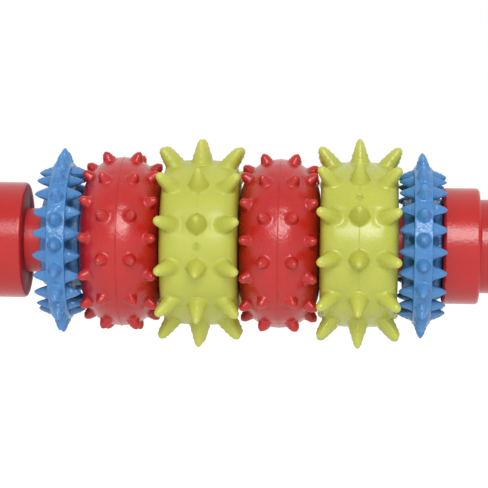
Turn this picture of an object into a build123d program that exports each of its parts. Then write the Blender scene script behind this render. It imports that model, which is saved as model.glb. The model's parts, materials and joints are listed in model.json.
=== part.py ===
"""Foot massage roller: six soft studded rings that turn and slide on a tube between two hand grips.

Frame: +X runs along the roller to the right, +Z is up, and the origin is on the tube's axis,
midway between the collars of the two handles. Lengths are in millimetres, angles in degrees.
A ring's phase is turned from -Y towards -Z.
"""

import math
import os

from build123d import *

# Tube and the room that the collars leave for the rings
TUBE_R = 15.5
TUBE_WALL = 2.5
COLLAR_FACE_X = 100.35
SOCKET_DEPTH = 38.0

# Handle: a collar that stops the rings, and a plain grip
COLLAR_R = 28.0
COLLAR_WIDTH = 17.6
COLLAR_ROUND = 1.7
GRIP_R = 22.6
GRIP_LENGTH = 82.0
GRIP_WALL = 3.6
GRIP_END_ROUND = 1.6
SOCKET_R = TUBE_R + 0.05
WEB_THICK = 4.5
STEP_FILLET = 0.8

# Fastening inside each handle
PLUG_LENGTH = 30.0
PILOT_R = 2.0
SCREW_R = 2.4
SCREW_LENGTH = 26.0
SCREW_HEAD_R = 4.6
SCREW_HEAD_HEIGHT = 3.2
SCREW_HOLE_R = 2.8
CROSS_ARM = 4.4
CROSS_WIDTH = 1.1
CROSS_DEPTH = 1.8
WASHER_R = 7.0
WASHER_THICK = 1.4

# Snap-in end cap
CAP_R = 19.9
CAP_THICK = 3.0
CAP_PROUD = 0.6
CAP_SKIRT_DEPTH = 9.0
CAP_SKIRT_WALL = 2.0
CAP_BEAD = 0.35
CAP_FIT = 0.1

# Stiff bush in each ring
BUSH_BORE_R = TUBE_R + 0.08
BUSH_R = 18.0
BUSH_RIB = 0.8
BUSH_RIB_WIDTH = 4.0
BUSH_INSET = 0.3
RUNNING_GAP = 0.05
RIB_SIDE_GAP = 0.15

# Walls of the two hollow kinds of ring
RING_WALL = 3.0

# Green ring: nearly flat crown, three rows of long cones
GREEN_HALF_WIDTH = 18.55
GREEN_CROWN_R = 39.85
GREEN_SHOULDER_R = 39.0
GREEN_CORNER = 7.5
GREEN_COUNT = 12
GREEN_MID_BASE_R = 4.6
GREEN_MID_TIP_R = 1.3
GREEN_TIP_REACH = 51.8
GREEN_SIDE_X = 12.6
GREEN_SIDE_FOOT_R = 37.9
GREEN_SIDE_TILT = 36.0
GREEN_SIDE_BASE_R = 3.8
GREEN_SIDE_TIP_R = 1.6
GREEN_SIDE_LENGTH = 11.7

# Red ring: round section, four rows of short knobs
RED_SECTION_R = 19.2
RED_OUTER_R = 41.0
RED_COUNT = 12
RED_KNOB_BASE_R = 2.85
RED_KNOB_TIP_R = 1.2
RED_INNER_ANGLE = 20.0
RED_INNER_TILT = 25.0
RED_INNER_LENGTH = 4.5
RED_OUTER_ANGLE = 49.5
RED_OUTER_TILT = 47.0
RED_OUTER_LENGTH = 4.3

# Blue ring: a narrow flange on a hub, radial cones and side cones
BLUE_HUB_R = 21.7
BLUE_HUB_HALF = 9.4
BLUE_FLANGE_R = 37.8
BLUE_FLANGE_HALF = 4.2
BLUE_ROUND = 1.2
BLUE_COUNT = 20
BLUE_TIP_REACH = 45.0
BLUE_BASE_R = 3.3
BLUE_TIP_R = 0.9
BLUE_SIDE_R = 33.0
BLUE_SIDE_BASE_R = 3.5
BLUE_SIDE_TIP_R = 0.9
BLUE_SIDE_TIP_X = 11.3

# Depth by which shapes reach into each other, so that they fuse or cut cleanly
SINK = 1.6

# Inflation valve of a hollow ring
VALVE_R = 2.1
VALVE_BARB_R = 2.7
VALVE_BARB_LENGTH = 1.2
VALVE_PROUD = 0.15
VALVE_SLOT = (2.6, 0.5, 0.7)

# The rings in order: node, kind, middle plane along X, phase of the studs, phase of the valve
RINGS = (
    ("left_blue", "blue", -82.8, 3.6, None),
    ("left_red", "red", -53.87, -17.2, 162.8),
    ("left_green", "green", -15.82, 17.85, 2.85),
    ("right_red", "red", 22.23, -16.8, 193.2),
    ("right_green", "green", 60.38, 10.6, -34.4),
    ("right_blue", "blue", 90.6, -3.6, None),
)

SIDES = (("left", -1), ("right", 1))


def turned(*points):
    """Solid of revolution about X from a closed outline of (x, radius) points."""
    return revolve(make_face(Polyline(*points, close=True)), Axis.X, 360)


def at_phase(phase, shape):
    """Turn a shape that was built over +Y to a phase round the roller's axis."""
    return Rot(180 + phase, 0, 0) * shape


def stud(base_r, tip_r, length):
    """Cone with a round tip, standing on +Y, with its foot sunk below the ring's surface."""
    slope = math.asin((base_r - tip_r) / (length - tip_r))
    tip_middle = length - tip_r
    edge = (tip_r * math.cos(slope), tip_middle + tip_r * math.sin(slope))
    halfway = (90 + math.degrees(slope)) / 2
    crown = (
        tip_r * math.cos(math.radians(halfway)),
        tip_middle + tip_r * math.sin(math.radians(halfway)),
    )
    outline = [
        Line((0, length), (0, -SINK)),
        Line((0, -SINK), (base_r, -SINK)),
        Line((base_r, -SINK), (base_r, 0)),
        Line((base_r, 0), edge),
        ThreePointArc(edge, crown, (0, length)),
    ]
    return revolve(make_face(outline), Axis.Y, 360)


def place_stud(shape, x, radius, tilt, phase):
    """Stand a stud on (x, radius), leaning tilt degrees towards +X, at a phase."""
    return at_phase(phase, Pos(x, radius, 0) * Rot(0, 0, -tilt) * shape)


def row(shape, count, x, radius, tilt, phase):
    """A row of equal studs round a ring."""
    return [place_stud(shape, x, radius, tilt, phase + i * 360 / count) for i in range(count)]


def bore_tool(half_width):
    """What is cut from a ring so that it turns on its bush: the bore and the groove for the rib."""
    bore_r = BUSH_R + RUNNING_GAP
    groove_r = bore_r + BUSH_RIB
    groove_half = BUSH_RIB_WIDTH / 2 + RIB_SIDE_GAP
    reach = half_width + 2
    return turned(
        (-reach, 0),
        (-reach, bore_r),
        (-groove_half, bore_r),
        (-groove_half, groove_r),
        (groove_half, groove_r),
        (groove_half, bore_r),
        (reach, bore_r),
        (reach, 0),
    )


def body_foot(inset):
    """Radius from which a ring's body is drawn, below its bore, or its hollow, above the groove."""
    if inset == 0:
        return BUSH_R - SINK
    return BUSH_R + BUSH_RIB + inset


def green_form(inset):
    """The green ring's body, or its hollow when inset by the wall."""
    half = GREEN_HALF_WIDTH - inset
    corner = GREEN_CORNER - inset
    shoulder_x = half - corner
    shoulder_r = GREEN_SHOULDER_R - inset
    corner_r = shoulder_r - corner
    foot_r = body_foot(inset)
    diagonal = corner * math.sqrt(0.5)
    outline = [
        Line((-half, foot_r), (-half, corner_r)),
        ThreePointArc(
            (-half, corner_r),
            (-shoulder_x - diagonal, corner_r + diagonal),
            (-shoulder_x, shoulder_r),
        ),
        ThreePointArc((-shoulder_x, shoulder_r), (0, GREEN_CROWN_R - inset), (shoulder_x, shoulder_r)),
        ThreePointArc(
            (shoulder_x, shoulder_r),
            (shoulder_x + diagonal, corner_r + diagonal),
            (half, corner_r),
        ),
        Line((half, corner_r), (half, foot_r)),
        Line((half, foot_r), (-half, foot_r)),
    ]
    return revolve(make_face(outline), Axis.X, 360)


def red_form(inset):
    """The red ring's body, or its hollow when inset by the wall."""
    section_r = RED_SECTION_R - inset
    middle_r = RED_OUTER_R - RED_SECTION_R
    foot_r = body_foot(inset)
    half = math.sqrt(section_r**2 - (middle_r - foot_r) ** 2)
    outline = [
        ThreePointArc((-half, foot_r), (0, middle_r + section_r), (half, foot_r)),
        Line((half, foot_r), (-half, foot_r)),
    ]
    return revolve(make_face(outline), Axis.X, 360)


def green_ring(phase, valve_phase):
    """Hollow green ring with one upright row of cones and a leaning row on each side."""
    mid = stud(GREEN_MID_BASE_R, GREEN_MID_TIP_R, GREEN_TIP_REACH - GREEN_CROWN_R)
    side = stud(GREEN_SIDE_BASE_R, GREEN_SIDE_TIP_R, GREEN_SIDE_LENGTH)
    studs = row(mid, GREEN_COUNT, 0, GREEN_CROWN_R, 0, phase)
    for way in (-1, 1):
        studs += row(side, GREEN_COUNT, way * GREEN_SIDE_X, GREEN_SIDE_FOOT_R, way * GREEN_SIDE_TILT, phase)
    body = green_form(0) + studs
    hole = valve_hole(GREEN_CROWN_R, valve_phase)
    return body - [bore_tool(GREEN_HALF_WIDTH), green_form(RING_WALL), hole]


def red_ring(phase, valve_phase):
    """Hollow red ring with two rows of knobs by the middle and two staggered rows outside them."""
    middle_r = RED_OUTER_R - RED_SECTION_R
    rows = (
        (RED_INNER_ANGLE, RED_INNER_TILT, RED_INNER_LENGTH, 0),
        (RED_OUTER_ANGLE, RED_OUTER_TILT, RED_OUTER_LENGTH, 180 / RED_COUNT),
    )
    studs = []
    for angle, tilt, length, stagger in rows:
        knob = stud(RED_KNOB_BASE_R, RED_KNOB_TIP_R, length)
        x = RED_SECTION_R * math.sin(math.radians(angle))
        radius = middle_r + RED_SECTION_R * math.cos(math.radians(angle))
        for way in (-1, 1):
            studs += row(knob, RED_COUNT, way * x, radius, way * tilt, phase + stagger)
    body = red_form(0) + studs
    hole = valve_hole(RED_OUTER_R, valve_phase)
    return body - [bore_tool(RED_SECTION_R), red_form(RING_WALL), hole]


def blue_ring(phase):
    """Solid blue ring: hub, narrow flange, cones on the rim and half a pitch away on both sides."""
    foot_r = BUSH_R - SINK
    section = make_face(
        Polyline(
            (-BLUE_HUB_HALF, foot_r),
            (-BLUE_HUB_HALF, BLUE_HUB_R),
            (-BLUE_FLANGE_HALF, BLUE_HUB_R),
            (-BLUE_FLANGE_HALF, BLUE_FLANGE_R),
            (BLUE_FLANGE_HALF, BLUE_FLANGE_R),
            (BLUE_FLANGE_HALF, BLUE_HUB_R),
            (BLUE_HUB_HALF, BLUE_HUB_R),
            (BLUE_HUB_HALF, foot_r),
            close=True,
        )
    )
    section = fillet(section.vertices().filter_by(lambda v: v.Y > foot_r + 1), BLUE_ROUND)
    rim_stud = stud(BLUE_BASE_R, BLUE_TIP_R, BLUE_TIP_REACH - BLUE_FLANGE_R)
    side_stud = stud(BLUE_SIDE_BASE_R, BLUE_SIDE_TIP_R, BLUE_SIDE_TIP_X - BLUE_FLANGE_HALF)
    studs = row(rim_stud, BLUE_COUNT, 0, BLUE_FLANGE_R, 0, phase)
    for way in (-1, 1):
        half_pitch = 180 / BLUE_COUNT
        studs += row(side_stud, BLUE_COUNT, way * BLUE_FLANGE_HALF, BLUE_SIDE_R, way * 90, phase + half_pitch)
    return (revolve(section, Axis.X, 360) + studs) - bore_tool(BLUE_HUB_HALF)


def valve_hole(outer_r, phase):
    """The hole that takes the valve, through the outer wall of a hollow ring."""
    depth = RING_WALL + 1.0
    hole = Pos(0, outer_r + 1.0 - (depth + 2.0) / 2, 0) * Rot(90, 0, 0) * Cylinder(VALVE_R, depth + 2.0)
    return at_phase(phase, hole)


def valve(outer_r, phase):
    """Soft valve: a plug with a barb under the wall and a closing slit in its face."""
    top = outer_r + VALVE_PROUD
    foot = outer_r - RING_WALL - VALVE_BARB_LENGTH
    body = revolve(
        make_face(
            Polyline(
                (0, foot),
                (VALVE_R - 0.4, foot),
                (VALVE_BARB_R, foot + VALVE_BARB_LENGTH),
                (VALVE_R, foot + VALVE_BARB_LENGTH),
                (VALVE_R, top),
                (0, top),
                close=True,
            )
        ),
        Axis.Y,
        360,
    )
    length, width, depth = VALVE_SLOT
    slit = Pos(0, top, 0) * Box(width, 2 * depth, length)
    return at_phase(phase, body - slit)


def bush(half_width):
    """Stiff bush that slides on the tube, with a rib that keeps its ring in place."""
    half = half_width - BUSH_INSET
    rib_half = BUSH_RIB_WIDTH / 2
    return turned(
        (-half, BUSH_BORE_R),
        (-half, BUSH_R),
        (-rib_half, BUSH_R),
        (-rib_half, BUSH_R + BUSH_RIB),
        (rib_half, BUSH_R + BUSH_RIB),
        (rib_half, BUSH_R),
        (half, BUSH_R),
        (half, BUSH_BORE_R),
    )


def core_tube():
    """Plain tube that carries the rings and joins the handles."""
    half = COLLAR_FACE_X + SOCKET_DEPTH
    bore_r = TUBE_R - TUBE_WALL
    return turned((-half, bore_r), (-half, TUBE_R), (half, TUBE_R), (half, bore_r))


def handle():
    """Right-hand handle: socket for the tube, web for the screw, hollow grip with a mouth for the cap."""
    face = COLLAR_FACE_X
    step = face + COLLAR_WIDTH
    end = step + GRIP_LENGTH
    web = face + SOCKET_DEPTH
    hollow_r = GRIP_R - GRIP_WALL
    mouth_r = CAP_R + CAP_FIT
    ledge = end + CAP_PROUD - CAP_THICK
    groove = ledge - CAP_SKIRT_DEPTH / 2
    section = make_face(
        Polyline(
            (face, SOCKET_R),
            (face, COLLAR_R),
            (step, COLLAR_R),
            (step, GRIP_R),
            (end, GRIP_R),
            (end, mouth_r),
            (ledge, mouth_r),
            (ledge, hollow_r),
            (groove + 1, hollow_r),
            (groove + 1, hollow_r + CAP_BEAD),
            (groove - 1, hollow_r + CAP_BEAD),
            (groove - 1, hollow_r),
            (web + WEB_THICK, hollow_r),
            (web + WEB_THICK, SCREW_HOLE_R),
            (web, SCREW_HOLE_R),
            (web, SOCKET_R),
            close=True,
        )
    )
    corners = section.vertices()
    section = fillet(corners.filter_by(lambda v: v.Y > COLLAR_R - 0.1), COLLAR_ROUND)
    step_corner = section.vertices().filter_by(lambda v: abs(v.X - step) < 0.01 and abs(v.Y - GRIP_R) < 0.01)
    section = fillet(step_corner, STEP_FILLET)
    end_corner = section.vertices().filter_by(lambda v: abs(v.X - end) < 0.01 and abs(v.Y - GRIP_R) < 0.01)
    section = fillet(end_corner, GRIP_END_ROUND)
    return revolve(section, Axis.X, 360)


def tube_plug():
    """Right-hand plug, pressed into the tube's end, with the screw's pilot hole."""
    end = COLLAR_FACE_X + SOCKET_DEPTH
    plug_r = TUBE_R - TUBE_WALL
    start = end - PLUG_LENGTH
    return turned((start, PILOT_R), (start, plug_r), (end, plug_r), (end, PILOT_R))


def washer():
    """Right-hand washer on the handle's web."""
    start = COLLAR_FACE_X + SOCKET_DEPTH + WEB_THICK
    end = start + WASHER_THICK
    return turned((start, SCREW_HOLE_R), (start, WASHER_R), (end, WASHER_R), (end, SCREW_HOLE_R))


def screw():
    """Right-hand self-tapping screw, a pan head with a cross recess."""
    seat = COLLAR_FACE_X + SOCKET_DEPTH + WEB_THICK + WASHER_THICK
    tip = seat - SCREW_LENGTH
    top = seat + SCREW_HEAD_HEIGHT
    body = turned(
        (tip, 0),
        (tip + 3, SCREW_R),
        (seat, SCREW_R),
        (seat, SCREW_HEAD_R),
        (top - 1.2, SCREW_HEAD_R),
        (top, SCREW_HEAD_R - 1.6),
        (top, 0),
    )
    arms = [Box(2 * CROSS_DEPTH, CROSS_ARM, CROSS_WIDTH), Box(2 * CROSS_DEPTH, CROSS_WIDTH, CROSS_ARM)]
    return body - [Pos(top, 0, 0) * arm for arm in arms]


def end_cap():
    """Right-hand end cap: a disc with a snap skirt."""
    end = COLLAR_FACE_X + COLLAR_WIDTH + GRIP_LENGTH + CAP_PROUD
    ledge = end - CAP_THICK
    skirt_end = ledge - CAP_SKIRT_DEPTH
    skirt_r = GRIP_R - GRIP_WALL - CAP_FIT
    groove = ledge - CAP_SKIRT_DEPTH / 2
    section = make_face(
        Polyline(
            (end, 0),
            (end, CAP_R),
            (ledge, CAP_R),
            (ledge, skirt_r),
            (groove + 0.8, skirt_r),
            (groove + 0.3, skirt_r + CAP_BEAD),
            (groove - 0.3, skirt_r + CAP_BEAD),
            (groove - 0.8, skirt_r),
            (skirt_end, skirt_r),
            (skirt_end, skirt_r - CAP_SKIRT_WALL),
            (ledge, skirt_r - CAP_SKIRT_WALL),
            (ledge, 0),
            close=True,
        )
    )
    rim = section.vertices().filter_by(lambda v: abs(v.X - end) < 0.01 and v.Y > CAP_R - 0.1)
    return revolve(fillet(rim, CAP_PROUD - 0.1), Axis.X, 360)


def save(name, shape):
    """Write one named piece to its own file."""
    shape.label = name
    export_step(shape, f"parts/{name}.step")


def save_rings():
    """Make and write each ring with its bush, and the valve of each hollow ring."""
    half_widths = {"blue": BLUE_HUB_HALF, "red": RED_SECTION_R, "green": GREEN_HALF_WIDTH}
    crowns = {"red": RED_OUTER_R, "green": GREEN_CROWN_R}
    makers = {"red": red_ring, "green": green_ring}
    for name, kind, x, phase, valve_phase in RINGS:
        if kind == "blue":
            ring = blue_ring(phase)
        else:
            ring = makers[kind](phase, valve_phase)
            save(f"{name}_valve", Pos(x, 0, 0) * valve(crowns[kind], valve_phase))
        save(f"{name}_ring", Pos(x, 0, 0) * ring)
        save(f"{name}_bush", Pos(x, 0, 0) * bush(half_widths[kind]))


def save_handles():
    """Make the right-hand pieces once and turn them about Z for the left."""
    pieces = {
        "handle": handle(),
        "tube_plug": tube_plug(),
        "washer": washer(),
        "screw": screw(),
        "end_cap": end_cap(),
    }
    for side, way in SIDES:
        for name, piece in pieces.items():
            save(f"{side}_{name}", Rot(0, 0, 0 if way > 0 else 180) * piece)


os.makedirs("parts", exist_ok=True)
save("core_tube", core_tube())
save_handles()
save_rings()
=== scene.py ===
import json
import math
import random

import bmesh
import bpy
from mathutils import Euler, Matrix, Vector


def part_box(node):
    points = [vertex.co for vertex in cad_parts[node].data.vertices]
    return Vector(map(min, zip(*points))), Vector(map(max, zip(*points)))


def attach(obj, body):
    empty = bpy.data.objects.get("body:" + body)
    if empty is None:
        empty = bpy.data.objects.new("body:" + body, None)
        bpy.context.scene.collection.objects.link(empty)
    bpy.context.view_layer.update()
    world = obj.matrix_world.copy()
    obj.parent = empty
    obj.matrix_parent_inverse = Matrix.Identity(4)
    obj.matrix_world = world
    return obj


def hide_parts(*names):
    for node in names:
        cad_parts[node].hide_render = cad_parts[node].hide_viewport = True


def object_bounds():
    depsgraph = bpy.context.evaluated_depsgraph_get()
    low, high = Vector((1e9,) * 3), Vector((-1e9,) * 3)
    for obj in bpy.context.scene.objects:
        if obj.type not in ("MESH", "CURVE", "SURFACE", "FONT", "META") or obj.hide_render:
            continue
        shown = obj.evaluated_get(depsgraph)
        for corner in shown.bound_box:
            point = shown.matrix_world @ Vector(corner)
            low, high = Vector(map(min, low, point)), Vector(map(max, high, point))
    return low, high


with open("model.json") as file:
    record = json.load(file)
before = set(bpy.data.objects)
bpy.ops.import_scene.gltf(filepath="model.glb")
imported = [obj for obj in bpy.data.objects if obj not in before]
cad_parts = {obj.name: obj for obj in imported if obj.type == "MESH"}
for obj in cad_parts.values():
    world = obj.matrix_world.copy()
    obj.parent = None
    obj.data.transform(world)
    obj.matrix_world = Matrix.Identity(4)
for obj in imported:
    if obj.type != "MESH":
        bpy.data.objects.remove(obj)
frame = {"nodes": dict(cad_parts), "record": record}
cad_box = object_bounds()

# ---------------------------------------------------------------- core tube
# The straight tube that carries the rings and joins the two handles. Red moulded plastic, extruded
# and cut square; a bare stretch of it shows beside the left collar when the rings lie to the right.

MM = 0.001
TURNS = 96
tube_low, tube_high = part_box("core_tube")
tube_r = tube_high.z
TUBE_WALL = 2.5 * MM
TUBE_EDGE = 0.5 * MM
# Painted light: both tube reds are set brighter than the grips' red of the same plastic, to make up for the
# shade that falls on the tube between the collar and the rings.
TUBE_RED_LIFTED_AGAINST_SHADE = (0.64, 0.020, 0.020, 1)
TUBE_DEEP_RED_LIFTED_AGAINST_SHADE = (0.58, 0.016, 0.016, 1)


class Flow:
    """A value on its way through a finish's nodes, so that sums on it are written as sums."""

    def __init__(self, finish, socket):
        self.finish = finish
        self.socket = socket

    def math(self, operation, first, second):
        settings = {"operation": operation}
        return self.finish.node("ShaderNodeMath", settings, {0: first, 1: second})

    def __add__(self, other):
        return self.math("ADD", self, other)

    def __radd__(self, other):
        return self.math("ADD", other, self)

    def __sub__(self, other):
        return self.math("SUBTRACT", self, other)

    def __rsub__(self, other):
        return self.math("SUBTRACT", other, self)

    def __mul__(self, other):
        return self.math("MULTIPLY", self, other)

    def __pow__(self, other):
        return self.math("POWER", self, other)

    def between(self, low, high):
        """0 below low, 1 above high, and smooth from one to the other."""
        settings = {"interpolation_type": "SMOOTHSTEP"}
        return self.finish.node("ShaderNodeMapRange", settings, {0: self, 1: low, 2: high})


class Finish:
    """A material and its shader, with the one way that nodes are put into it."""

    def __init__(self, name, **constants):
        self.material = bpy.data.materials.new(name)
        self.material.use_nodes = True
        self.tree = self.material.node_tree
        self.shader = self.tree.nodes["Principled BSDF"]
        for socket, value in constants.items():
            self.shader.inputs[socket.replace("_", " ")].default_value = value

    def node(self, kind, settings, inputs, output=0):
        made = self.tree.nodes.new(kind)
        for key, value in settings.items():
            setattr(made, key, value)
        for key, value in inputs.items():
            self.fill(made.inputs[key], value)
        return Flow(self, made.outputs[output])

    def fill(self, socket, value):
        if isinstance(value, Flow):
            self.tree.links.new(value.socket, socket)
        else:
            socket.default_value = value

    def feed(self, **inputs):
        """What varies over the surface goes into the shader here."""
        for socket, value in inputs.items():
            self.fill(self.shader.inputs[socket.replace("_", " ")], value)

    def place(self):
        return self.node("ShaderNodeTexCoord", {}, {}, "Object")

    def grain(self, place, scale, detail, seed):
        """Noise from 0 to 1 with lumps of about 1/scale metres."""
        settings = {"noise_dimensions": "4D"}
        values = {"Vector": place, "Scale": scale, "Detail": detail, "W": seed}
        return self.node("ShaderNodeTexNoise", settings, values)

    def blend(self, factor, first, second):
        return self.node("ShaderNodeMix", {"data_type": "RGBA"}, {0: factor, 6: first, 7: second}, 2)

    def bump(self, height, distance, strength=1.0, under=None):
        values = {"Height": height, "Distance": distance, "Strength": strength}
        if under is not None:
            values["Normal"] = under
        return self.node("ShaderNodeBump", {}, values)


def moulded_plastic(name, deep, bright, roughness, dull_x=0.0):
    """Stiff plastic: faint flow marks, fine orange peel, light scuffs, and dull faces up to x = dull_x."""
    finish = Finish(name, IOR=1.5)
    place = finish.place()
    flow = finish.grain(place, scale=38.0, detail=3.0, seed=1.0)
    peel = finish.grain(place, scale=1100.0, detail=1.5, seed=2.0)
    scuffs = finish.grain(place, scale=260.0, detail=5.0, seed=3.0).between(0.60, 0.72)
    parts = finish.tree.nodes.new("ShaderNodeSeparateXYZ")
    finish.fill(parts.inputs[0], place)
    x = Flow(finish, parts.outputs["X"])
    dull = 1 - ((x * x) ** 0.5).between(dull_x, dull_x + 0.6 * MM)
    finish.feed(
        Base_Color=finish.blend(flow.between(0.3, 0.7), deep, bright),
        Roughness=roughness + (flow - 0.5) * 0.10 + (peel - 0.5) * 0.14 + scuffs * 0.08 + dull * 0.32,
        Normal=finish.bump(peel, 0.12 * MM, 1.0),
    )
    return finish.material


def lathe(outline, rounds):
    """Spin a closed outline of (x, radius) about the roller's axis; rounds are (point, radius) to soften."""
    bm = bmesh.new()
    points = [bm.verts.new((x, r, 0)) for x, r in outline]
    lines = [bm.edges.new((points[i - 1], points[i])) for i in range(len(points))]
    bmesh.ops.spin(
        bm, geom=points + lines, cent=(0, 0, 0), axis=(1, 0, 0), dvec=(0, 0, 0),
        angle=2 * math.pi, steps=TURNS, use_merge=True,
    )
    bmesh.ops.remove_doubles(bm, verts=bm.verts, dist=0.001 * MM)
    bmesh.ops.recalc_face_normals(bm, faces=bm.faces)
    for point, radius in rounds:
        x, r = outline[point]
        on_corner = [
            e for e in bm.edges
            if all(abs(v.co.x - x) < 1e-6 and abs(v.co.yz.length - r) < 1e-6 for v in e.verts)
        ]
        bmesh.ops.bevel(
            bm, geom=on_corner, offset=radius, offset_type="OFFSET", affect="EDGES",
            segments=5, profile=0.5, material=-1,
        )
    return bm


def fit(bm, name, body, slot, finish, *nodes):
    """Turn a bmesh into a finished piece, on its body and in place of the CAD nodes it stands for."""
    mesh = bpy.data.meshes.new(name)
    for face in bm.faces:
        face.smooth = True
    bm.to_mesh(mesh)
    bm.free()
    mesh.materials.append(finish)
    piece = bpy.data.objects.new(name, mesh)
    bpy.context.scene.collection.objects.link(piece)
    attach(piece, body)
    if nodes:
        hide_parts(*nodes)
    return piece


def even_normals(piece):
    """Let the large faces of a turned piece set the shading next to its rounded corners."""
    weighted = piece.modifiers.new("even normals", "WEIGHTED_NORMAL")
    weighted.keep_sharp = True
    weighted.weight = 100


tube_outline = [
    (tube_low.x, tube_r - TUBE_WALL),
    (tube_low.x, tube_r),
    (tube_high.x, tube_r),
    (tube_high.x, tube_r - TUBE_WALL),
]
lifted_tube_finish = moulded_plastic("red tube plastic lifted against shade", TUBE_DEEP_RED_LIFTED_AGAINST_SHADE, TUBE_RED_LIFTED_AGAINST_SHADE, roughness=0.36)
tube = fit(
    lathe(tube_outline, [(1, TUBE_EDGE), (2, TUBE_EDGE)]),
    "tube_between_handles", "core", "tube_plastic", lifted_tube_finish, "core_tube",
)
even_normals(tube)

# ---------------------------------------------------------------- plugs, screws and washers
# What holds each handle on, out of sight: a plug pressed into the tube's end, and a screw with a
# washer through the handle's web. Plastic plugs, zinc-plated steel screws; their shape is the CAD's.


def plated_steel(name):
    """Bright zinc plate with the fine turning marks of a screw blank."""
    finish = Finish(name, Metallic=1.0)
    place = finish.place()
    haze = finish.grain(place, scale=420.0, detail=3.0, seed=4.0)
    marks = finish.grain(place, scale=2600.0, detail=1.0, seed=5.0)
    finish.feed(
        Base_Color=finish.blend(haze.between(0.35, 0.65), (0.55, 0.56, 0.58, 1), (0.70, 0.70, 0.69, 1)),
        Roughness=0.24 + haze * 0.16,
        Normal=finish.bump(marks, 0.01 * MM, 0.6),
    )
    return finish.material


def dress(node, finish):
    """Give a CAD node that keeps its shape a better finish."""
    mesh = frame["nodes"][node].data
    mesh.materials.clear()
    mesh.materials.append(finish)


steel_finish = plated_steel("zinc plated steel")
for side in ("left", "right"):
    # The plugs take the tube's finish, and with it the reds that are lifted against shade.
    dress(f"{side}_tube_plug", lifted_tube_finish)
    dress(f"{side}_screw", steel_finish)
    dress(f"{side}_washer", steel_finish)

# ---------------------------------------------------------------- bushes
# The stiff sleeves on which the soft rings turn. Natural, slightly waxy plastic, turned smooth inside
# and out; only their ends can be glimpsed in the gaps between the rings.

BUSH_DEEP = (0.60, 0.59, 0.55, 1)
BUSH_BRIGHT = (0.74, 0.73, 0.70, 1)
bush_finish = moulded_plastic("natural bush plastic", BUSH_DEEP, BUSH_BRIGHT, roughness=0.42)
for node in frame["nodes"]:
    if node.endswith("_bush"):
        dress(node, bush_finish)

# ---------------------------------------------------------------- vinyl rings: how every kind is made
# Soft vinyl, cast in a two-part mould. A plain ring is spun first, and each stud is then drawn out of
# its skin: a patch is inset to a round foot and pulled up ring by ring, so foot and skin blend. The
# lengths that describe the rings are in mm.

LEVELS = 2
FACETS = 8
ROUND_SHRINK = (2 + math.cos(2 * math.pi / FACETS)) / 3
BORE_R = 18.05
GROOVE_R = 18.95
GROOVE_HALF = 2.15
FOOT_MARGIN = 0.8
SIDEWAYS = 0.2
SEAM_R = 0.32
SEAM_SINK = 0.18
SEAM_FACETS = 10
VALVE_OUTLINE = [(0, 0.03), (1.35, 0.03), (1.5, 0.24), (1.75, 0.26), (1.9, 0.1), (1.9, -2.5), (0, -2.5)]
VALVE_FACETS = 32
SLIT_SIZE = (2.3, 0.4, 0.6)
SLIT_APART = 0.34
SIDES = (-1, 1)


def direction(phase, x=0.0, radial=1.0):
    """The way that points out of the axis at a phase, in degrees, with x along the roller."""
    turn = math.radians(180 + phase)
    return Vector((x, radial * math.cos(turn), radial * math.sin(turn)))


def spun_ring(middle_x, half_outline, bore_half, steps, phase, creases):
    """A ring's cage. half_outline runs from the crown down the right side, in mm, and is mirrored."""
    shrink = (2 + math.cos(2 * math.pi / steps)) / 3
    right = half_outline + [(bore_half, BORE_R), (GROOVE_HALF, BORE_R), (GROOVE_HALF, GROOVE_R)]
    left = [(-x, r) for x, r in reversed(right) if x > 0]
    bm = bmesh.new()
    crease = bm.edges.layers.float.new("crease_edge")
    points = []
    for x, r in right + left:
        points.append(bm.verts.new(direction(phase, x * MM, r * MM / shrink)))
    lines = [bm.edges.new((points[i - 1], points[i])) for i in range(len(points))]
    bmesh.ops.spin(
        bm, geom=points + lines, cent=(0, 0, 0), axis=(1, 0, 0), dvec=(0, 0, 0),
        angle=2 * math.pi, steps=steps, use_merge=True,
    )
    bmesh.ops.remove_doubles(bm, verts=bm.verts, dist=0.01 * MM)
    bmesh.ops.recalc_face_normals(bm, faces=bm.faces)
    bore = {(bore_half, BORE_R): 1.0, (GROOVE_HALF, BORE_R): 1.0, (GROOVE_HALF, GROOVE_R): 1.0}
    for (x, r), sharpness in {**bore, **creases}.items():
        for edge in bm.edges:
            if all(
                abs(abs(v.co.x) - x * MM) < 1e-6 and abs(v.co.yz.length - r * MM / shrink) < 1e-6
                for v in edge.verts
            ):
                edge[crease] = sharpness
    bmesh.ops.translate(bm, verts=bm.verts, vec=(middle_x, 0, 0))
    return bm


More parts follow.
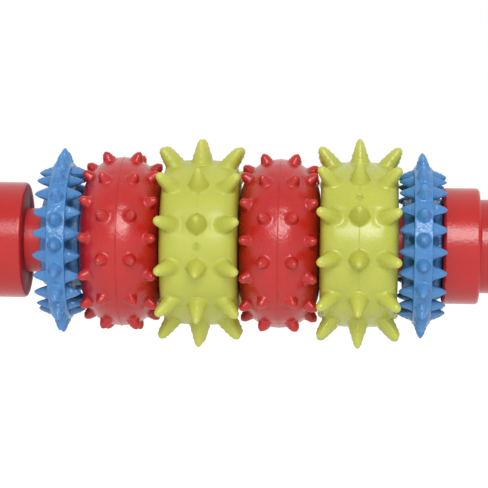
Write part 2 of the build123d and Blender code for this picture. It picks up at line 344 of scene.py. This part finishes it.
def draw_stud(bm, foot, lean, stages, tip):
    """Pull a stud out of the skin at foot, towards lean. stages are (height, radius), in mm."""
    middle = min(bm.verts, key=lambda v: (v.co - foot).length_squared)
    patch = list(middle.link_faces)
    bmesh.ops.inset_region(
        bm, faces=patch, thickness=FOOT_MARGIN * MM, use_boundary=True, use_even_offset=True,
    )
    across = Vector((1, 0, 0)) - lean * lean.x
    if across.length < SIDEWAYS:
        across = Vector((0, 1, 0)) - lean * lean.y
    across.normalize()
    along = lean.cross(across)
    for number, (height, radius) in enumerate(stages):
        if number:
            grown = bmesh.ops.extrude_face_region(bm, geom=patch)["geom"]
            bmesh.ops.delete(bm, geom=patch, context="FACES_ONLY")
            patch = [g for g in grown if isinstance(g, bmesh.types.BMFace)]
        corners = {v for face in patch for v in face.verts}
        centre = next(v for v in corners if sum(v in face.verts for face in patch) == len(patch))
        for corner in corners - {centre}:
            offset = corner.co - foot
            turn = math.atan2(offset.dot(along), offset.dot(across))
            step = 2 * math.pi / FACETS
            turn = round(turn / step) * step
            lift = offset.dot(lean) if number == 0 else height * MM
            spoke = across * math.cos(turn) + along * math.sin(turn)
            corner.co = foot + lean * lift + spoke * (radius * MM / ROUND_SHRINK)
        centre.co = foot + lean * (height * MM)
    # Smoothing pulls the pole in towards its eight neighbours, so it is set beyond the tip.
    last = stages[-1][0]
    centre.co = foot + lean * ((36 * tip - 20 * last) / 16 * MM)


def soften(piece):
    """Subdivide a ring's cage into its smooth skin."""
    skin = piece.modifiers.new("smooth skin", "SUBSURF")
    skin.levels = LEVELS
    skin.render_levels = LEVELS


def soft_vinyl(
    name, deep, bright, tip_glow_colour, roughness, peel_depth, wave_scale, wave_depth, crown_r, tip_r, seed
):
    """Soft cast vinyl: clouded colour, a painted glow that pales the studs towards their tips, fine orange
    peel over waves.
    """
    finish = Finish(name, IOR=1.52, Subsurface_Weight=0.08, Subsurface_Scale=2.5 * MM)
    finish.shader.inputs["Subsurface Radius"].default_value = (1.0, 0.6, 0.4)
    place = finish.place()
    parts = finish.tree.nodes.new("ShaderNodeSeparateXYZ")
    finish.fill(parts.inputs[0], place)
    y = Flow(finish, parts.outputs["Y"])
    z = Flow(finish, parts.outputs["Z"])
    radius = (y * y + z * z) ** 0.5
    cloud = finish.grain(place, scale=42.0, detail=3.0, seed=seed)
    peel = finish.grain(place, scale=950.0, detail=2.0, seed=seed + 1)
    smear = finish.grain(place, scale=150.0, detail=4.0, seed=seed + 2)
    waves = finish.grain(place, scale=wave_scale, detail=2.0, seed=seed + 3)
    # Painted glow: from crown_r out to tip_r the colour is blended towards a paler one, standing in for
    # light shining through the thin stud tips.
    thin = radius.between(crown_r * MM, tip_r * MM)
    body = finish.blend(cloud.between(0.3, 0.7), deep, bright)
    finish.feed(
        Base_Color=finish.blend(thin * 0.55, body, tip_glow_colour),
        Roughness=roughness + (smear - 0.5) * 0.16 + (peel - 0.5) * 0.12,
        Normal=finish.bump(peel, peel_depth * MM, 1.0, finish.bump(waves, wave_depth * MM, 1.0)),
    )
    return finish.material


def middle_of(node):
    low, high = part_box(node)
    return (low.x + high.x) / 2


def ring_body(place):
    return f"{place}_roller"


def parting_seam(place, middle_x, crown_r, slot, finish):
    """The thin ridge that the joint of the two mould halves leaves all round a ring's crown."""
    bm = bmesh.new()
    made = bmesh.ops.create_circle(bm, segments=SEAM_FACETS, radius=SEAM_R * MM)
    bmesh.ops.translate(bm, verts=made["verts"], vec=(middle_x, (crown_r - SEAM_SINK) * MM, 0))
    bmesh.ops.spin(
        bm, geom=bm.verts[:] + bm.edges[:], cent=(0, 0, 0), axis=(1, 0, 0), dvec=(0, 0, 0),
        angle=2 * math.pi, steps=2 * TURNS, use_merge=True,
    )
    bmesh.ops.remove_doubles(bm, verts=bm.verts, dist=0.001 * MM)
    bmesh.ops.recalc_face_normals(bm, faces=bm.faces)
    fit(bm, f"{place}_seam", ring_body(place), slot, finish)


def air_valve(place, middle_x, phase, crown_r, slit_turn, slot, finish):
    """The round plug that closes a hollow ring: a low rim, and a slit between two lips."""
    bm = bmesh.new()
    points = [bm.verts.new((r * MM, 0, h * MM)) for r, h in VALVE_OUTLINE]
    lines = [bm.edges.new(pair) for pair in zip(points, points[1:])]
    bmesh.ops.spin(
        bm, geom=points + lines, cent=(0, 0, 0), axis=(0, 0, 1), dvec=(0, 0, 0),
        angle=2 * math.pi, steps=VALVE_FACETS, use_merge=True,
    )
    bmesh.ops.remove_doubles(bm, verts=bm.verts, dist=0.001 * MM)
    turn = Matrix.Rotation(math.radians(slit_turn), 4, "Z")
    size = Matrix.Diagonal([s * MM for s in SLIT_SIZE] + [1])
    for way in SIDES:
        apart = Matrix.Translation((0, way * SLIT_APART * MM, 0))
        bmesh.ops.create_cube(bm, size=1.0, matrix=turn @ apart @ size)
    bmesh.ops.recalc_face_normals(bm, faces=bm.faces)
    out = direction(phase)
    along = Vector((1, 0, 0))
    upright = Matrix((along, out.cross(along), out)).transposed().to_4x4()
    seat = Matrix.Translation(Vector((middle_x, 0, 0)) + out * crown_r * MM)
    bmesh.ops.transform(bm, verts=bm.verts, matrix=seat @ upright)
    valve = fit(bm, f"{place}_air_valve", ring_body(place), slot, finish, f"{place}_valve")
    even_normals(valve)


# ---------------------------------------------------------------- green rings
# Hollow yellow-green rings with a nearly flat crown and three rows of long cones, the outer two rows
# leaning out. They turn on their bushes and stand proud of all the other rings.

GREEN_STUDS = 12
GREEN_STEPS = 48
GREEN_CROWN_R = 39.85
GREEN_OUTLINE = [
    (0, 39.95), (5.8, 39.9), (12.6, 39.35), (17.15, 36.85), (18.68, 31.95), (18.55, 26.0), (18.55, 21.5),
]
GREEN_BORE_HALF = 18.55
GREEN_MID_STAGES = [(0, 4.95), (0.8, 4.45), (3.9, 3.55), (7.4, 2.5), (10.0, 1.75), (11.4, 1.1)]
GREEN_MID_TIP = 12.0
GREEN_SIDE_FOOT = (12.6, 38.0)
GREEN_SIDE_TILT = 35.0
GREEN_SIDE_STAGES = [(0, 4.3), (2.2, 3.6), (5.0, 3.2), (7.9, 2.65), (10.0, 2.1), (11.1, 1.4)]
GREEN_SIDE_TIP = 11.6
GREEN_PHASES = {"left_green": 17.85, "right_green": 10.6}
GREEN_VALVES = {"left_green": (2.85, 84.0), "right_green": (-34.4, -14.0)}
GREEN_SKIN_R = 39.97
GREEN_SEAMS = {"left_green": 39.86, "right_green": 39.97}
GREEN_GLOSS = {"left_green": 0.42, "right_green": 0.27}
green_finishes = {}
for place_name, roughness in GREEN_GLOSS.items():
    green_finishes[place_name] = soft_vinyl(
        f"{place_name} vinyl",
        deep=(0.365, 0.385, 0.046, 1), bright=(0.400, 0.420, 0.053, 1), tip_glow_colour=(0.46, 0.48, 0.078, 1),
        roughness=roughness, peel_depth=0.05, wave_scale=150.0, wave_depth=0.05,
        crown_r=41.0, tip_r=50.0, seed=10.0,
    )


def stud_on(bm, middle_x, x, r, tilt, phase, stages, tip, dice):
    """One stud at (x, r) from a ring's middle, in mm, leaning tilt degrees outwards, a little unevenly."""
    foot = Vector((middle_x, 0, 0)) + direction(phase, x * MM, r * MM)
    lean_angle = math.radians(tilt + dice.uniform(-1.2, 1.2))
    sway = dice.uniform(-1.2, 1.2)
    lean = direction(phase + sway, math.sin(lean_angle), math.cos(lean_angle))
    stretch = dice.uniform(0.975, 1.0)
    stages = [(height * stretch, radius) for height, radius in stages]
    draw_stud(bm, foot, lean, stages, tip * stretch)


for place_name, phase in GREEN_PHASES.items():
    node = f"{place_name}_ring"
    green_finish = green_finishes[place_name]
    dice = random.Random(node)
    middle_x = middle_of(node)
    bm = spun_ring(middle_x, GREEN_OUTLINE, GREEN_BORE_HALF, GREEN_STEPS, phase, {})
    for k in range(GREEN_STUDS):
        at = phase + k * 360 / GREEN_STUDS
        stud_on(bm, middle_x, 0, GREEN_CROWN_R, 0, at, GREEN_MID_STAGES, GREEN_MID_TIP, dice)
        for way in SIDES:
            x, r = GREEN_SIDE_FOOT
            stud_on(
                bm, middle_x, way * x, r, way * GREEN_SIDE_TILT, at, GREEN_SIDE_STAGES, GREEN_SIDE_TIP, dice
            )
    soften(fit(bm, f"{place_name}_skin", ring_body(place_name), "green_vinyl", green_finish, node))
    parting_seam(place_name, middle_x, GREEN_SEAMS[place_name], "green_vinyl", green_finish)
    valve_phase, slit_turn = GREEN_VALVES[place_name]
    air_valve(place_name, middle_x, valve_phase, GREEN_SKIN_R, slit_turn, "green_vinyl", green_finish)

# ---------------------------------------------------------------- red rings
# Hollow red rings, round in section, with four rows of short knobs: two rows near the middle and two
# staggered rows lower on the shoulders.

RED_STUDS = 12
RED_STEPS = 48
RED_OUTER_R = 41.0
RED_SECTION_R = 19.2
RED_MIDDLE_R = RED_OUTER_R - RED_SECTION_R
RED_CAGE_R = 19.4
RED_ANGLES = (0, 20, 34.75, 49.5, 64.5, 79, 90)
RED_BORE_HALF = 18.75
RED_INNER_ANGLE = 20.0
RED_INNER_TILT = 25.0
RED_INNER_STAGES = [(0, 3.3), (0.7, 2.8), (2.1, 2.35), (3.4, 1.8), (4.2, 1.15)]
RED_INNER_TIP = 4.75
RED_OUTER_ANGLE = 49.5
RED_OUTER_TILT = 47.0
RED_OUTER_STAGES = [(0, 3.3), (0.7, 2.85), (2.0, 2.45), (3.3, 2.0), (4.2, 1.35)]
RED_OUTER_TIP = 4.85
RED_PHASES = {"left_red": -17.2, "right_red": -16.8}
RED_VALVES = {"left_red": 162.8, "right_red": 193.2}
red_outline = []
for angle in RED_ANGLES:
    bend = math.radians(angle)
    red_outline.append((RED_CAGE_R * math.sin(bend), RED_MIDDLE_R + RED_CAGE_R * math.cos(bend)))
red_finish = soft_vinyl(
    "red vinyl",
    deep=(0.375, 0.008, 0.008, 1), bright=(0.410, 0.010, 0.009, 1), tip_glow_colour=(0.44, 0.014, 0.014, 1),
    roughness=0.25, peel_depth=0.13, wave_scale=150.0, wave_depth=0.05,
    crown_r=42.0, tip_r=46.0, seed=20.0,
)
red_rows = (
    (RED_INNER_ANGLE, RED_INNER_TILT, 0.0, RED_INNER_STAGES, RED_INNER_TIP),
    (RED_OUTER_ANGLE, RED_OUTER_TILT, 180 / RED_STUDS, RED_OUTER_STAGES, RED_OUTER_TIP),
)
for place_name, phase in RED_PHASES.items():
    node = f"{place_name}_ring"
    dice = random.Random(node)
    middle_x = middle_of(node)
    bm = spun_ring(middle_x, red_outline, RED_BORE_HALF, RED_STEPS, phase, {})
    for angle, tilt, stagger, stages, tip in red_rows:
        x = RED_SECTION_R * math.sin(math.radians(angle))
        r = RED_MIDDLE_R + RED_SECTION_R * math.cos(math.radians(angle))
        for k in range(RED_STUDS):
            at = phase + stagger + k * 360 / RED_STUDS
            for way in SIDES:
                stud_on(bm, middle_x, way * x, r, way * tilt, at, stages, tip, dice)
    soften(fit(bm, f"{place_name}_skin", ring_body(place_name), "red_vinyl", red_finish, node))
    parting_seam(place_name, middle_x, RED_OUTER_R, "red_vinyl", red_finish)
    air_valve(place_name, middle_x, RED_VALVES[place_name], RED_OUTER_R, 90.0, "red_vinyl", red_finish)

# ---------------------------------------------------------------- blue rings
# Solid blue rings: a narrow flange on a hub, with cones on the rim and bulging cones on both sides,
# half a pitch apart. They close the row at both ends and run against the collars.

BLUE_STUDS = 20
BLUE_STEPS = 40
BLUE_RIM_R = 37.8
BLUE_FACE_X = 4.2
BLUE_SIDE_R = 33.0
BLUE_OUTLINE = [
    (0, 37.9), (4.3, 37.85), (4.25, 37.3), (4.2, 33.0), (4.2, 28.7), (4.25, 24.0), (5.4, 21.9),
    (8.9, 21.75), (9.4, 21.0),
]
BLUE_BORE_HALF = 9.4
BLUE_CREASES = {(4.3, 37.85): 0.25}
BLUE_RIM_STAGES = [(0, 3.6), (0.6, 3.25), (2.6, 2.5), (4.8, 1.75), (6.3, 1.15)]
BLUE_RIM_TIP = 7.2
BLUE_SIDE_STAGES = [(0, 3.85), (0.5, 3.4), (2.4, 2.7), (4.6, 1.9), (6.2, 1.15)]
BLUE_SIDE_TIP = 7.2
BLUE_PHASES = {"left_blue": 3.6, "right_blue": -3.6}
blue_finish = soft_vinyl(
    "blue vinyl",
    deep=(0.044, 0.175, 0.400, 1), bright=(0.053, 0.198, 0.445, 1), tip_glow_colour=(0.07, 0.24, 0.53, 1),
    roughness=0.24, peel_depth=0.03, wave_scale=380.0, wave_depth=0.75,
    crown_r=38.0, tip_r=45.0, seed=30.0,
)
for place_name, phase in BLUE_PHASES.items():
    node = f"{place_name}_ring"
    dice = random.Random(node)
    middle_x = middle_of(node)
    bm = spun_ring(middle_x, BLUE_OUTLINE, BLUE_BORE_HALF, BLUE_STEPS, phase, BLUE_CREASES)
    for k in range(BLUE_STUDS):
        at = phase + k * 360 / BLUE_STUDS
        stud_on(bm, middle_x, 0, BLUE_RIM_R, 0, at, BLUE_RIM_STAGES, BLUE_RIM_TIP, dice)
        for way in SIDES:
            between = at + 180 / BLUE_STUDS
            stud_on(
                bm, middle_x, way * BLUE_FACE_X, BLUE_SIDE_R, way * 90, between,
                BLUE_SIDE_STAGES, BLUE_SIDE_TIP, dice,
            )
    soften(fit(bm, f"{place_name}_skin", ring_body(place_name), "blue_vinyl", blue_finish, node))

# ---------------------------------------------------------------- handles
# Each handle is one red moulding: a broad collar that stops the rings, and a plain hollow grip. The
# edges are generously rounded, as on any toy-like moulded grip.

handle_low, handle_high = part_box("right_handle")
grip = next(m for m in frame["record"]["mounts"] if m["name"] == "right_grip")
GRIP_R = grip["dims"]["r_mm"] * MM
COLLAR_R = handle_high.z
COLLAR_WIDTH = 17.6 * MM
COLLAR_ROUND = 1.7 * MM
GRIP_ROUND = 1.6 * MM
STEP_ROUND = 0.8 * MM
MOUTH_R = 20.0 * MM
MOUTH_DEPTH = 2.4 * MM
HOLLOW_R = 19.0 * MM
SOCKET_DEPTH = 38.0 * MM
SOCKET_GAP = 0.05 * MM
WEB_THICK = 4.5 * MM
SCREW_HOLE_R = 2.8 * MM
GRIP_RED = (0.410, 0.010, 0.010, 1)
GRIP_RED_DEEP = (0.375, 0.008, 0.008, 1)
grip_finish = moulded_plastic(
    "red grip plastic", GRIP_RED_DEEP, GRIP_RED, roughness=0.23, dull_x=handle_low.x + 0.1 * MM
)
for side, way in (("left", -1), ("right", 1)):
    face = handle_low.x
    step = face + COLLAR_WIDTH
    end = handle_high.x
    web = face + SOCKET_DEPTH
    outline = [
        (face, tube_r + SOCKET_GAP), (face, COLLAR_R), (step, COLLAR_R), (step, GRIP_R), (end, GRIP_R),
        (end, MOUTH_R), (end - MOUTH_DEPTH, MOUTH_R), (end - MOUTH_DEPTH, HOLLOW_R),
        (web + WEB_THICK, HOLLOW_R), (web + WEB_THICK, SCREW_HOLE_R), (web, SCREW_HOLE_R),
        (web, tube_r + SOCKET_GAP),
    ]
    rounds = [(1, COLLAR_ROUND), (2, COLLAR_ROUND), (3, STEP_ROUND), (4, GRIP_ROUND)]
    bm = lathe(outline, rounds)
    if way < 0:
        bmesh.ops.rotate(bm, verts=bm.verts, cent=(0, 0, 0), matrix=Matrix.Rotation(math.pi, 3, "Z"))
    handle = fit(bm, f"{side}_grip_and_collar", "core", "grip_plastic", grip_finish, f"{side}_handle")
    even_normals(handle)
    dress(f"{side}_end_cap", grip_finish)

# ---------------------------------------------------------------- stage, light and camera
# A white floor under the roller and a white studio that darkens towards the viewer's side, a broad
# soft light above and to the right, a weaker one to the left, and a long lens at the roller's side.

FLOOR_HALF = 12.0
FRONT_WALL = 0.7
BACK_WALL = 1.0
WALLS_FADE = (-0.5, 0.3)
cad_low = cad_box[0]
bm = bmesh.new()
bmesh.ops.create_circle(bm, cap_ends=True, segments=64, radius=FLOOR_HALF)
bmesh.ops.translate(bm, verts=bm.verts, vec=(0, 0, cad_low.z))
floor_mesh = bpy.data.meshes.new("studio_floor")
bm.to_mesh(floor_mesh)
bm.free()
floor = bpy.data.objects.new("studio_floor", floor_mesh)
bpy.context.scene.collection.objects.link(floor)
floor_finish = Finish(
    "white floor", Base_Color=(0.12, 0.12, 0.12, 1), Roughness=0.9,
    Emission_Color=(1, 1, 1, 1), Emission_Strength=0.96,
)
floor_finish.shader.inputs["Specular IOR Level"].default_value = 0.0
floor_mesh.materials.append(floor_finish.material)

world = bpy.data.worlds.new("white studio")
world.use_nodes = True
walls = world.node_tree.nodes["Background"]
walls.inputs["Color"].default_value = (1, 1, 1, 1)
compass = world.node_tree.nodes.new("ShaderNodeTexCoord")
axes = world.node_tree.nodes.new("ShaderNodeSeparateXYZ")
fade = world.node_tree.nodes.new("ShaderNodeMapRange")
fade.interpolation_type = "SMOOTHSTEP"
fade.inputs["From Min"].default_value, fade.inputs["From Max"].default_value = WALLS_FADE
fade.inputs["To Min"].default_value = FRONT_WALL
fade.inputs["To Max"].default_value = BACK_WALL
world.node_tree.links.new(compass.outputs["Generated"], axes.inputs[0])
world.node_tree.links.new(axes.outputs["Y"], fade.inputs["Value"])
world.node_tree.links.new(fade.outputs[0], walls.inputs["Strength"])
bpy.context.scene.world = world
bpy.context.scene.view_settings.view_transform = "Standard"

LIGHT_DISTANCE = 1.3
SOFTBOXES = {
    "key_softbox": {"height_angle": 24.0, "right": 0.19, "size": (0.58, 0.60), "watts": 9.8},
    "fill_softbox": {"height_angle": 22.0, "right": -0.28, "size": (0.36, 0.50), "watts": 2.4},
}
for name, box in SOFTBOXES.items():
    lamp = bpy.data.lights.new(name, "AREA")
    lamp.shape = "RECTANGLE"
    lamp.size, lamp.size_y = box["size"]
    lamp.energy = box["watts"]
    softbox = bpy.data.objects.new(name, lamp)
    bpy.context.scene.collection.objects.link(softbox)
    rise = math.radians(box["height_angle"])
    softbox.location = (box["right"], -LIGHT_DISTANCE * math.cos(rise), LIGHT_DISTANCE * math.sin(rise))
    softbox.rotation_mode = "QUATERNION"
    softbox.rotation_quaternion = (-Vector(softbox.location)).to_track_quat("-Z", "Y")

SENSOR_MM = 36.0
LENS_MM = 172.7
CAMERA_DISTANCE = 1.135
CAMERA_YAW = 2.6
CAMERA_ROLL = 0.85
AIM = Vector((4.75 * MM, 0, -0.5 * MM))
lens = bpy.data.cameras.new("camera")
lens.sensor_width = SENSOR_MM
lens.lens = LENS_MM
camera = bpy.data.objects.new("camera", lens)
bpy.context.scene.collection.objects.link(camera)
yaw = math.radians(CAMERA_YAW)
back = Vector((math.sin(yaw), -math.cos(yaw), 0))
camera.location = AIM + back * CAMERA_DISTANCE
camera.rotation_mode = "QUATERNION"
level = (-back).to_track_quat("-Z", "Y")
camera.rotation_quaternion = level @ Euler((0, 0, math.radians(CAMERA_ROLL))).to_quaternion()
bpy.context.scene.camera = camera
